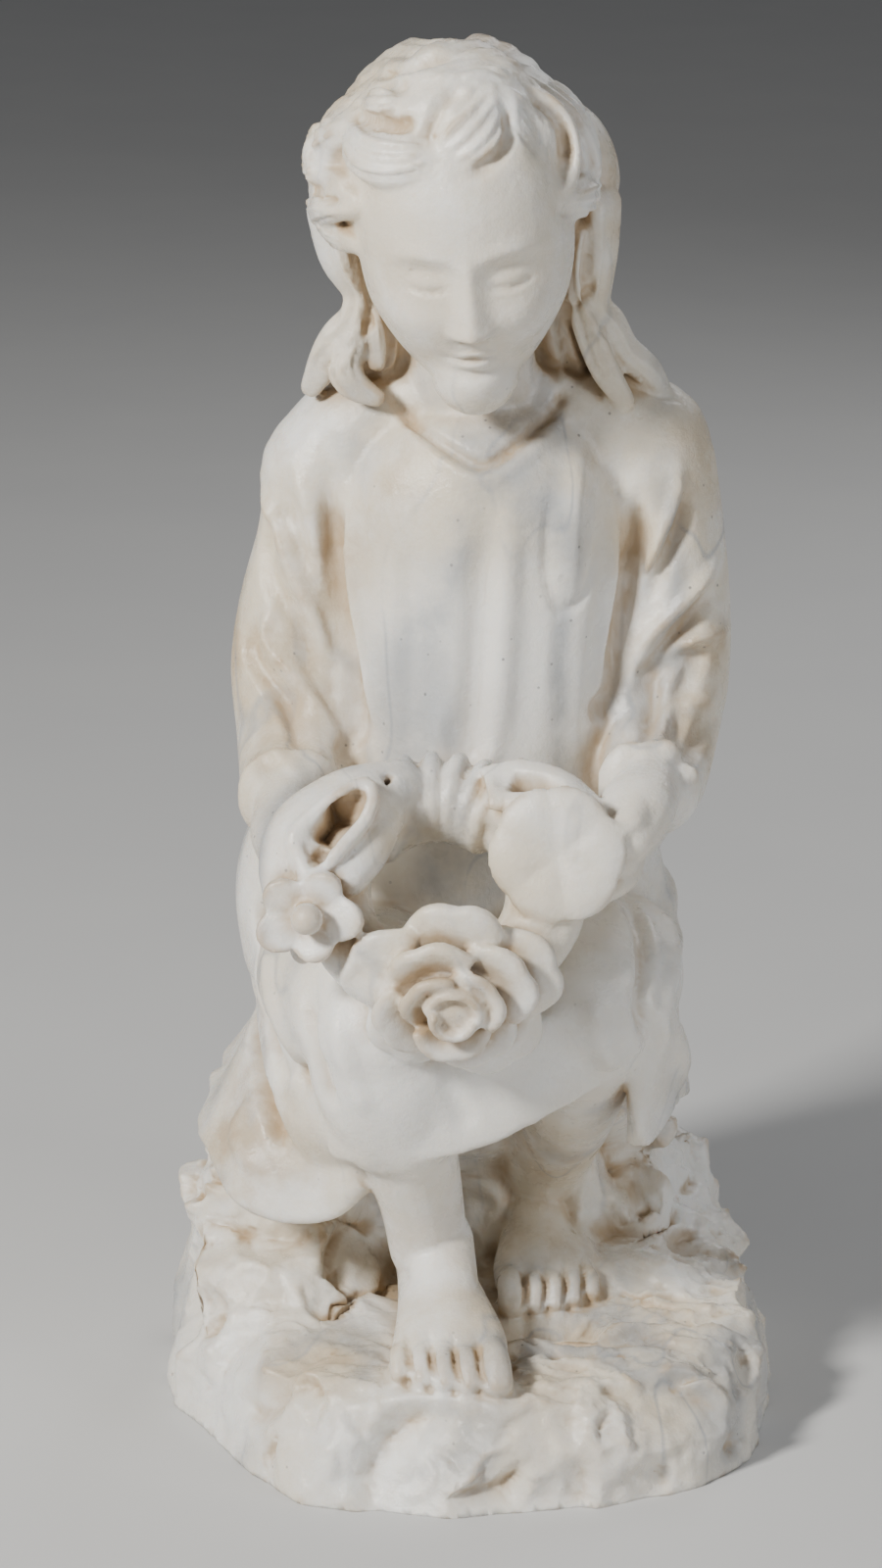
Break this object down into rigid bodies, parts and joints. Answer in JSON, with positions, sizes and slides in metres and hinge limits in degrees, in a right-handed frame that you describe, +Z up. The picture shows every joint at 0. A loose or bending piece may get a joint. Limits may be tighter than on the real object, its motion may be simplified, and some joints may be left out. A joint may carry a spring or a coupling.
{
  "type": "marble statue",
  "caption": "Carved marble statue of a seated child in a long robe, head bowed, holding a wreath of flowers on the lap, on a rough rock seat and base.",
  "frame": {"origin": "middle of the flat underside's bounding box, at floor level", "axes": "+Z up through the head, -Y the way the figure faces, +X the viewer's right"},
  "size_m": [0.3128, 0.3338, 0.7097],
  "materials": {
    "marble": "polished white marble, stained in its hollows"
  },
  "bodies": {
    "root": {"statue": "marble"}
  },
  "joints": []
}
